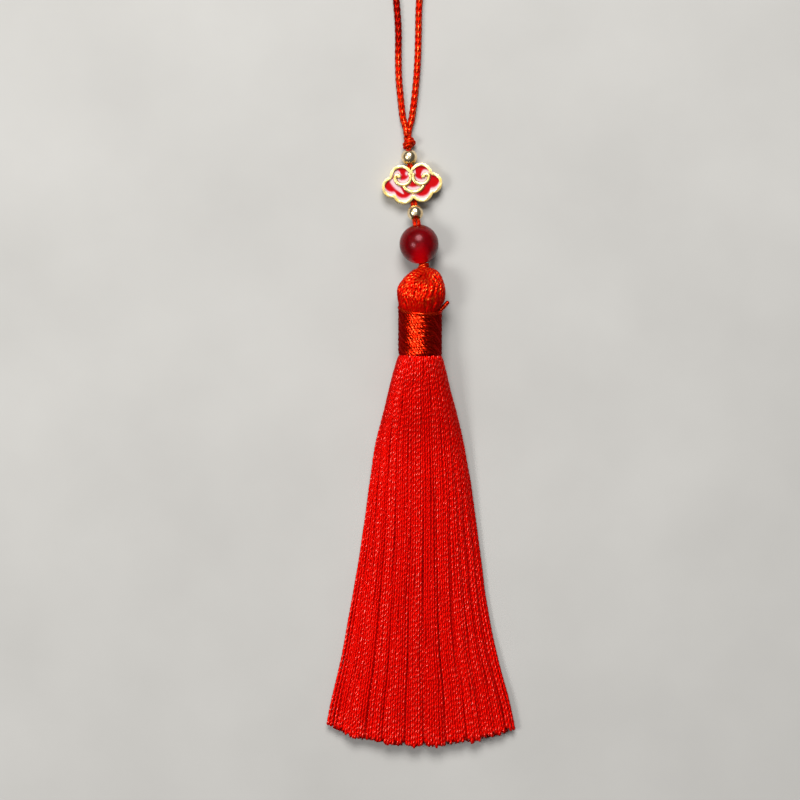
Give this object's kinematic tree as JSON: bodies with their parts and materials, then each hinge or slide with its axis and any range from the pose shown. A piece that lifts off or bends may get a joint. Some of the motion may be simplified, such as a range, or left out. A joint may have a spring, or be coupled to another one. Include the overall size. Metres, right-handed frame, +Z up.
{
  "type": "silk tassel with beads on a hanging cord",
  "caption": "Red silk tassel with a bound round head, strung with a frosted bead, small brass beads and an enamelled cloud, on a knotted hanging loop.",
  "frame": {"origin": "on the table, under the middle of the tassel and its strung cord, without the free loop", "axes": "+Y from the hem to the hanging loop, +X across the skirt, +Z up from the table towards the viewer"},
  "size_m": [0.0468, 0.2264, 0.012],
  "materials": {
    "silk": "twisted silk yarn with a soft sheen",
    "cord": "fine round braid",
    "frosted_stone": "frosted translucent red stone",
    "brass": "polished pale gilt",
    "enamel": "glossy enamel between gilt lines"
  },
  "bodies": {
    "root": {"tassel": "silk", "binding": "silk", "strung_cord": "cord", "cord_loop": "cord", "red_bead": "frosted_stone", "brass_bead_lower": "brass", "brass_bead_upper": "brass", "cloud_bead": "enamel"}
  },
  "joints": []
}
